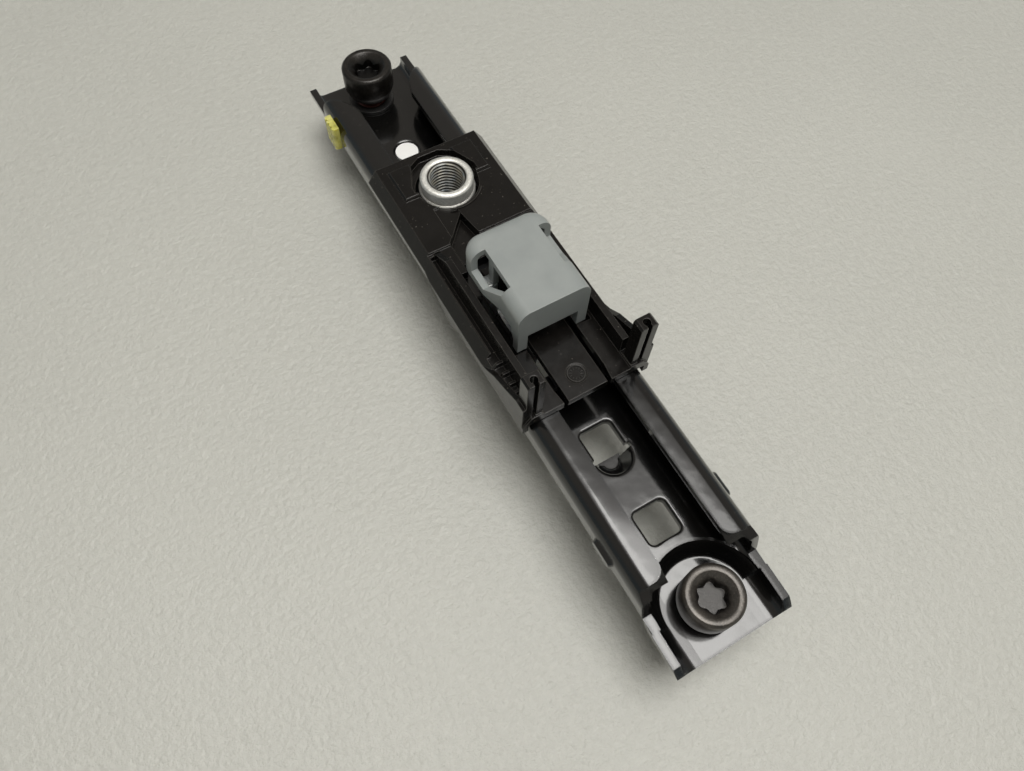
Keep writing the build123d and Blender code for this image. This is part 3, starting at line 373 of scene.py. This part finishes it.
def moulded(name, dark, light, rough, sheen=0.5, worn_and_highlit=None, dust=None, relief=0.12, corner=0.00025):
    """Moulded plastic: fine grain and soft clouds, with lighter edges from wear and a painted
    highlight, and dust, if they are given.
    """
    m = Nodes(name)
    colour = m.blend(m.clouded(m.noise(120.0, 4.0)), dark, light)
    # Painted highlight: the edges lighten, partly as wear and partly standing in for light caught on
    # them.
    if worn_and_highlit:
        colour = m.blend(m.edges(0.0004, 0.55), colour, worn_and_highlit)
    if dust:
        colour = m.blend(m.span(m.noise(1200.0, 1.0), 0.0, 0.7, 0.73, 0.79), colour, dust)
    m.link(colour, m.shader.inputs["Base Color"])
    shine = m.noise(300.0, 5.0, 0.7)
    m.link(m.span(shine, *rough, 0.3, 0.7), m.shader.inputs["Roughness"])
    m.shader.inputs["Specular IOR Level"].default_value = sheen
    m.bump(m.noise(1500.0, 2.0), relief, 0.00012, m.rounded(corner))
    return m.material


def clear_yellow(name):
    """Cloudy yellow plastic that lets some light through."""
    m = Nodes(name)
    colour = m.blend(m.clouded(m.noise(160.0, 2.0)), (0.50, 0.47, 0.08), (0.80, 0.76, 0.30))
    olive = m.span(m.noise(420.0, 3.0), 0.0, 0.6, 0.5, 0.7)
    colour = m.blend(olive, colour, (0.26, 0.25, 0.06))
    m.link(colour, m.shader.inputs["Base Color"])
    m.link(m.span(m.noise(700.0), 0.18, 0.4), m.shader.inputs["Roughness"])
    m.shader.inputs["Subsurface Weight"].default_value = 0.7
    m.shader.inputs["Subsurface Scale"].default_value = 0.003
    m.shader.inputs["Subsurface Radius"].default_value = (1.0, 0.9, 0.3)
    m.shader.inputs["Coat Weight"].default_value = 0.5
    m.shader.inputs["Coat Roughness"].default_value = 0.08
    m.bump(m.noise(900.0), 0.12, 0.0002, m.rounded(0.0003))
    return m.material


def finishes():
    """One finish for every node of the solids."""
    black = moulded(
        "housing_plastic",
        (0.0040, 0.0035, 0.0031),
        (0.0075, 0.0066, 0.0058),
        (0.14, 0.25),
        sheen=0.38,
        # Lighter edges: wear and a painted highlight.
        worn_and_highlit=(0.095, 0.088, 0.078),
        dust=(0.11, 0.10, 0.085),
        relief=0.05,
        corner=0.00035,
    )
    steel = zinc("bright_zinc", (0.72, 0.72, 0.71), 0.2)
    wire = zinc("spring_wire", (0.55, 0.55, 0.54), 0.25)
    sleeve = moulded("sleeve_plastic", (0.02, 0.02, 0.02), (0.035, 0.034, 0.033), (0.25, 0.4))
    runner = moulded("runner_plastic", (0.012, 0.012, 0.012), (0.025, 0.025, 0.024), (0.3, 0.45))
    button = moulded(
        "button_plastic",
        (0.248, 0.268, 0.262),
        (0.288, 0.308, 0.300),
        (0.30, 0.44),
        # Lighter edges: wear and a painted highlight.
        worn_and_highlit=(0.37, 0.39, 0.38),
    )
    # In both phosphates the third colour lightens the edges: wear and a painted highlight.
    lower = phosphate(
        "lower_bolt",
        (0.035, 0.031, 0.027),
        (0.085, 0.076, 0.066),
        (0.33, 0.31, 0.29),
    )
    upper = phosphate(
        "upper_bolt",
        (0.008, 0.007, 0.006),
        (0.024, 0.021, 0.018),
        (0.30, 0.29, 0.27),
        band=(0.075, 0.016, 0.012),
    )
    return {
        "rail": gloss_paint("rail_paint"),
        "lower_bolt": lower,
        "upper_bolt": upper,
        "lower_sleeve": sleeve,
        "upper_sleeve": sleeve,
        "locating_plug": moulded(
            "plug_plastic",
            (0.82, 0.82, 0.81),
            (0.90, 0.90, 0.885),
            (0.35, 0.5),
        ),
        "side_clip": clear_yellow("clip_plastic"),
        "slide_plate": satin_paint("plate_paint"),
        "anchor_nut": nut_zinc("nut_zinc"),
        "slider_housing": black,
        "left_runner": runner,
        "right_runner": runner,
        "lever_pin": steel,
        "pin_clip": steel,
        "left_case_screw": steel,
        "right_case_screw": steel,
        "button_spring": wire,
        "lock_spring": wire,
        "lock_lever": zinc("lever_zinc", (0.74, 0.75, 0.75), 0.28),
        "release_button": button,
    }


def axis_of(low, high):
    """Where the vertical axis of a box stands."""
    return Vector(((low.x + high.x) / 2, (low.y + high.y) / 2, 0))


def skin(rings, closed):
    """A surface through rings of equal count, joined last to first or capped at both ends."""
    shape = bmesh.new()
    rows = [[shape.verts.new(point) for point in one] for one in rings]
    followers = rows[1:] + rows[:1] if closed else rows[1:]
    for low, high in zip(rows, followers):
        for i in range(len(low)):
            j = (i + 1) % len(low)
            shape.faces.new((low[i], low[j], high[j], high[i]))
    if not closed:
        shape.faces.new(list(reversed(rows[0])))
        shape.faces.new(rows[-1])
    bmesh.ops.recalc_face_normals(shape, faces=shape.faces)
    return shape


def placed(name, shape, material, smooth=False):
    """An object made of a finished shape."""
    mesh = bpy.data.meshes.new(name)
    shape.to_mesh(mesh)
    shape.free()
    if smooth:
        for face in mesh.polygons:
            face.use_smooth = True
        mesh.set_sharp_from_angle(angle=SMOOTH_ANGLE)
    mesh.materials.append(material)
    piece = bpy.data.objects.new(name, mesh)
    bpy.context.scene.collection.objects.link(piece)
    return piece


def lofted(name, rings, material, body, replaced):
    """A capped piece through rings, in the place of a node."""
    piece = placed(name, skin(rings, closed=False), material, smooth=True)
    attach(piece, body)
    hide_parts(replaced)
    return piece


def ring(centre, level, radius):
    """Points round an axis; the radius is a number or a function of the angle."""
    points = []
    for i in range(AROUND):
        turn = 2 * math.pi * i / AROUND
        r = radius(turn) if callable(radius) else radius
        z = level(turn) if callable(level) else level
        points.append((centre.x + r * math.cos(turn), centre.y + r * math.sin(turn), z))
    return points


def thread_rings(centre, start, end, outer, fade, pitch, depth):
    """Rings of a thread between two levels: its crests at outer, or its roots there in a bore."""
    steps = max(2, round(abs(end - start) / pitch * ROWS_PER_PITCH))
    rings = []
    for k in range(steps + 1):
        z = start + (end - start) * k / steps
        near = min(abs(z - start), abs(end - z))
        full = min(1.0, near / fade)

        def radius(turn, z=z, full=full):
            phase = (z / pitch - turn / (2 * math.pi)) % 1.0
            ridge = min(1.0, max(0.0, THREAD_CREST - THREAD_FLANK * abs(phase - 0.5)))
            return outer - depth * (1.0 - ridge) * full

        rings.append(ring(centre, z, radius))
    return rings


def lobed(turn):
    """Radius of the six-lobe socket's wall."""
    wave = 0.5 + 0.5 * math.cos(SOCKET_LOBES * turn)
    return SOCKET_RADIUS - LOBE_DEPTH * (1.0 - wave ** 0.8)


def make_screw(node, body, material):
    """The screw with its socket and rolled thread."""
    low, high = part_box(node)
    centre = axis_of(low, high)
    top = high.z
    seat = top - HEAD_HEIGHT
    floor = top - SOCKET_DEPTH
    tip = low.z

    def fall(turn):
        """How far the socket's chamfer has dropped where it meets the wall."""
        return SOCKET_MOUTH - lobed(turn)

    rings = [
        ring(centre, floor, 0.3 * MM),
        ring(centre, floor, lambda turn: lobed(turn) * 0.55),
        ring(centre, floor, lambda turn: lobed(turn) * 0.96),
        ring(centre, floor + 0.15 * MM, lobed),
        ring(centre, lambda turn: top - fall(turn) - EASE, lobed),
        ring(centre, lambda turn: top - fall(turn) * SOCKET_CHAMFER, lambda turn: lobed(turn) + EASE),
        ring(centre, top - 0.08 * MM, SOCKET_MOUTH - 0.06 * MM),
        ring(centre, top, SOCKET_MOUTH + 0.08 * MM),
        ring(centre, top, HEAD_RADIUS - HEAD_EDGE - EASE),
        ring(centre, top - 0.08 * MM, HEAD_RADIUS - HEAD_EDGE + EASE),
        ring(centre, top - HEAD_EDGE + EASE, HEAD_RADIUS - EASE),
        ring(centre, top - HEAD_EDGE - EASE, HEAD_RADIUS),
        ring(centre, seat + HEAD_TAPER + EASE, HEAD_RADIUS),
        ring(centre, seat + HEAD_TAPER - 0.2 * MM, HEAD_RADIUS - EASE),
        ring(centre, seat + EASE, HEAD_SEAT_RADIUS),
        ring(centre, seat, HEAD_SEAT_RADIUS - EASE),
        ring(centre, seat, NECK_RADIUS + 0.4 * MM),
        ring(centre, seat - 0.4 * MM, NECK_RADIUS),
        ring(centre, seat - NECK_LENGTH + 0.5 * MM, NECK_RADIUS - 0.3 * MM),
    ]
    start = seat - NECK_LENGTH
    end = tip + TIP_CHAMFER
    rings += thread_rings(centre, start, end, SHANK_RADIUS, SCREW_FADE, **SCREW_THREAD)
    rings.append(ring(centre, tip + EASE, SHANK_RADIUS - TIP_CHAMFER))
    rings.append(ring(centre, tip, SHANK_RADIUS - TIP_CHAMFER - 0.15 * MM))
    lofted(f"{node}_threaded", rings, material, body, node)


def make_nut(material):
    """The anchor nut with its cut thread."""
    low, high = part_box("anchor_nut")
    centre = axis_of(low, high)
    bottom, top = low.z, high.z
    plate_back = bottom + NUT_RIVET
    plate_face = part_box("slide_plate")[1].z
    rings = [
        ring(centre, bottom, NUT_RIVET_RADIUS - 0.2 * MM),
        ring(centre, bottom + 0.2 * MM, NUT_RIVET_RADIUS),
        ring(centre, plate_back, NUT_RIVET_RADIUS),
        ring(centre, plate_back, NUT_SPIGOT_RADIUS),
        ring(centre, plate_face, NUT_SPIGOT_RADIUS),
        ring(centre, plate_face, NUT_RADIUS),
        ring(centre, NUT_RING_BOTTOM, NUT_RADIUS),
        ring(centre, NUT_RING_BOTTOM + 0.1 * MM, NUT_RING_RADIUS - 0.25 * MM),
        ring(centre, NUT_RING_BOTTOM + NUT_RING_ROUND, NUT_RING_RADIUS),
        ring(centre, NUT_RING_BOTTOM + NUT_RING - NUT_RING_ROUND, NUT_RING_RADIUS),
        ring(centre, NUT_RING_BOTTOM + NUT_RING, NUT_RING_RADIUS - NUT_RING_ROUND),
        ring(centre, NUT_RING_BOTTOM + NUT_RING, NUT_RADIUS + 0.1 * MM),
        ring(centre, NUT_RING_BOTTOM + NUT_RING + 0.15 * MM, NUT_RADIUS),
        ring(centre, top - NUT_EDGE - 0.12 * MM, NUT_RADIUS),
        ring(centre, top - NUT_EDGE + 0.05 * MM, NUT_RADIUS - 0.08 * MM),
        ring(centre, top - 0.06 * MM, NUT_RADIUS - NUT_EDGE),
        ring(centre, top, NUT_RADIUS - NUT_EDGE - 0.12 * MM),
        ring(centre, top, NUT_MOUTH + 0.1 * MM),
        ring(centre, top - 0.07 * MM, NUT_MOUTH - 0.04 * MM),
    ]
    root = NUT_MINOR + NUT_THREAD["depth"]
    start = top - (NUT_MOUTH - root)
    end = bottom + NUT_LEAD
    rings += thread_rings(centre, start, end, root, NUT_FADE, **NUT_THREAD)
    rings.append(ring(centre, bottom, root))
    piece = ring_tube("anchor_nut_threaded", rings, material)
    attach(piece, "slider")
    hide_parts("anchor_nut")


def ring_tube(name, rings, material):
    """A surface through rings whose last ring meets the first, as a tube's wall does."""
    return placed(name, skin(rings, closed=True), material, smooth=True)


def make_coil(node, material, wire, turns, stroke, anchored_low):
    """A coiled spring in the place of its node. Its stroke and anchored_low are not used."""
    low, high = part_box(node)
    centre = axis_of(low, high)
    radius = (high.x - low.x) / 2 - wire
    start = low.z + wire
    end = high.z - wire
    steps = turns * COIL_STEPS
    rings = []
    for k in range(steps + 1):
        turn = 2 * math.pi * k / COIL_STEPS
        out = Vector((math.cos(turn), math.sin(turn), 0))
        middle = centre + out * radius + Vector((0, 0, start + (end - start) * k / steps))
        section = []
        for i in range(COIL_SIDES):
            angle = 2 * math.pi * i / COIL_SIDES
            rise = Vector((0, 0, wire * math.sin(angle)))
            section.append(middle + out * wire * math.cos(angle) + rise)
        rings.append(section)
    coil = lofted(f"{node}_coil", rings, material, "slider", node)
    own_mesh(coil)


def make_arc(material):
    """The short raised arc on the housing beside the nut."""
    low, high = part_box("anchor_nut")
    centre = axis_of(low, high)
    inner, outer = ARC_RADIUS
    start, end = ARC_TURNS
    corners = ((inner, ARC_FOOT), (outer, ARC_FOOT), (outer, ARC_TOP), (inner, ARC_TOP))
    rings = []
    for k in range(ARC_STEPS + 1):
        turn = start + (end - start) * k / ARC_STEPS
        out = Vector((math.cos(turn), math.sin(turn), 0))
        rings.append([centre + out * radius + Vector((0, 0, level)) for radius, level in corners])
    arc = placed("nut_arc", skin(rings, closed=False), material)
    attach(arc, "slider")


def make_stamp(material):
    """The mould stamp's raised rim with plain divisions inside it."""
    bottom = STAMP_FLOOR - STAMP_SUNK
    top = STAMP_FLOOR + STAMP_RAISED
    inner, outer = STAMP_RIM
    corners = ((inner, bottom), (outer, bottom), (outer, top), (inner, top))
    rings = [ring(STAMP_CENTRE, level, radius) for radius, level in corners]
    rim = ring_tube("stamp_rim", rings, material)
    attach(rim, "slider")
    start, end = STAMP_TICK
    size = Matrix.Diagonal((end - start, STAMP_TICK_WIDTH, top - bottom, 1.0))
    out = Matrix.Translation(((start + end) / 2, 0, (top + bottom) / 2))
    shape = bmesh.new()
    for index in range(STAMP_TICKS):
        turn = Matrix.Rotation(2 * math.pi * index / STAMP_TICKS, 4, "Z")
        matrix = Matrix.Translation(STAMP_CENTRE) @ turn @ out @ size
        bmesh.ops.create_cube(shape, size=1.0, matrix=matrix)
    divisions = placed("stamp_divisions", shape, material)
    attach(divisions, "slider")


def floor_material():
    """Pale stone-look floor with soft clouds and a fine slate texture."""
    m = Nodes("floor_stone")
    cloud = m.noise(7.0, 6.0, 0.6)
    fine = m.noise(420.0, 5.0, 0.65)
    dim = tuple(c * FLOOR_DIM for c in FLOOR_TONE)
    colour = m.blend(m.clouded(cloud), dim, FLOOR_TONE)
    pale = tuple(c * FLOOR_PALE for c in FLOOR_TONE)
    colour = m.blend(m.span(fine, 0.0, 0.6, 0.45, 0.75), colour, pale)
    m.link(colour, m.shader.inputs["Base Color"])
    m.shader.inputs["Roughness"].default_value = FLOOR_ROUGHNESS
    m.bump(m.noise(520.0, 4.0, 0.6), 0.9, 0.0007)
    return m.material


def make_floor():
    """The floor under both screws' tips, so it leans by the height between them."""
    lower_low, lower_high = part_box("lower_bolt")
    upper_low, upper_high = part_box("upper_bolt")
    lower = Vector((0, (lower_low.y + lower_high.y) / 2, lower_low.z))
    upper = Vector((0, (upper_low.y + upper_high.y) / 2, upper_low.z))
    lean = math.atan2(upper.z - lower.z, upper.y - lower.y)
    bpy.ops.mesh.primitive_plane_add(size=FLOOR_SIZE, location=lower, rotation=(lean, 0, 0))
    floor = bpy.context.object
    floor.name = "floor"
    floor.data.materials.append(floor_material())


def make_camera():
    """The camera that was fitted to the photograph."""
    flat = math.cos(CAMERA_DOWN)
    across = math.sin(CAMERA_YAW) * flat
    ahead = math.cos(CAMERA_YAW) * flat
    forward = Vector((across, ahead, -math.sin(CAMERA_DOWN)))
    level = Vector((math.cos(CAMERA_YAW), -math.sin(CAMERA_YAW), 0))
    above = level.cross(forward)
    right = level * math.cos(CAMERA_ROLL) + above * math.sin(CAMERA_ROLL)
    up = above * math.cos(CAMERA_ROLL) - level * math.sin(CAMERA_ROLL)
    data = bpy.data.cameras.new("camera")
    data.sensor_width = SENSOR
    data.lens = SENSOR * FOCAL_PIXELS / IMAGE_WIDTH
    data.clip_start = CAMERA_NEAR
    camera = bpy.data.objects.new("camera", data)
    turn = Matrix((right, up, -forward)).transposed().to_4x4()
    camera.matrix_world = Matrix.Translation(CAMERA_PLACE) @ turn
    bpy.context.scene.collection.objects.link(camera)
    bpy.context.scene.camera = camera


def make_room():
    """A dim room: cool near the horizon, warm above it, and a glow round the lamp."""
    world = bpy.data.worlds.new("room")
    world.use_nodes = True
    tree = world.node_tree
    place = tree.nodes.new("ShaderNodeTexCoord").outputs["Generated"]
    aim = tree.nodes.new("ShaderNodeVectorMath")
    aim.operation = "DOT_PRODUCT"
    aim.inputs[1].default_value = Vector(LAMP_PLACE).normalized()
    tree.links.new(place, aim.inputs[0])
    tone = LOW_TONE
    for (start, end), next_tone in ((MIDDLE_REACH, MIDDLE_TONE), (GLOW_REACH, HIGH_TONE)):
        step = tree.nodes.new("ShaderNodeMapRange")
        step.interpolation_type = "SMOOTHSTEP"
        step.inputs["From Min"].default_value = start
        step.inputs["From Max"].default_value = end
        tree.links.new(aim.outputs["Value"], step.inputs["Value"])
        mix = tree.nodes.new("ShaderNodeMix")
        mix.data_type = "RGBA"
        tree.links.new(step.outputs["Result"], mix.inputs[0])
        if isinstance(tone, tuple):
            mix.inputs[6].default_value = (*tone, 1.0)
        else:
            tree.links.new(tone, mix.inputs[6])
        mix.inputs[7].default_value = (*next_tone, 1.0)
        tone = mix.outputs[2]
    tree.links.new(tone, tree.nodes["Background"].inputs["Color"])
    bpy.context.scene.world = world


def make_light():
    """One soft round lamp above the object, and the room round it."""
    data = bpy.data.lights.new("ceiling_lamp", "AREA")
    data.shape = "DISK"
    data.size = LAMP_SIZE
    data.energy = LAMP_POWER
    data.color = LAMP_TONE
    lamp = bpy.data.objects.new("ceiling_lamp", data)
    lamp.location = LAMP_PLACE
    aim = LAMP_AIM - Vector(LAMP_PLACE)
    lamp.rotation_euler = aim.to_track_quat("-Z", "Y").to_euler()
    bpy.context.scene.collection.objects.link(lamp)
    make_room()
    bpy.context.scene.view_settings.view_transform = "Standard"


def dress_nodes(materials):
    """Puts each node's finish in its slot."""
    for name, node in NODES.items():
        node.data.materials.clear()
        node.data.materials.append(materials[name])


materials = finishes()
dress_nodes(materials)
make_screw("lower_bolt", "rail", materials["lower_bolt"])
make_screw("upper_bolt", "rail", materials["upper_bolt"])
make_nut(materials["anchor_nut"])
raised = moulded(
    "raised_marks",
    (0.016, 0.0145, 0.013),
    (0.028, 0.026, 0.023),
    (0.15, 0.3),
    corner=0.00004,
)
make_stamp(raised)
make_arc(raised)
make_coil("button_spring", materials["button_spring"], anchored_low=True, **BUTTON_COIL)
make_coil("lock_spring", materials["lock_spring"], anchored_low=False, **LOCK_COIL)
make_floor()
make_light()
make_camera()
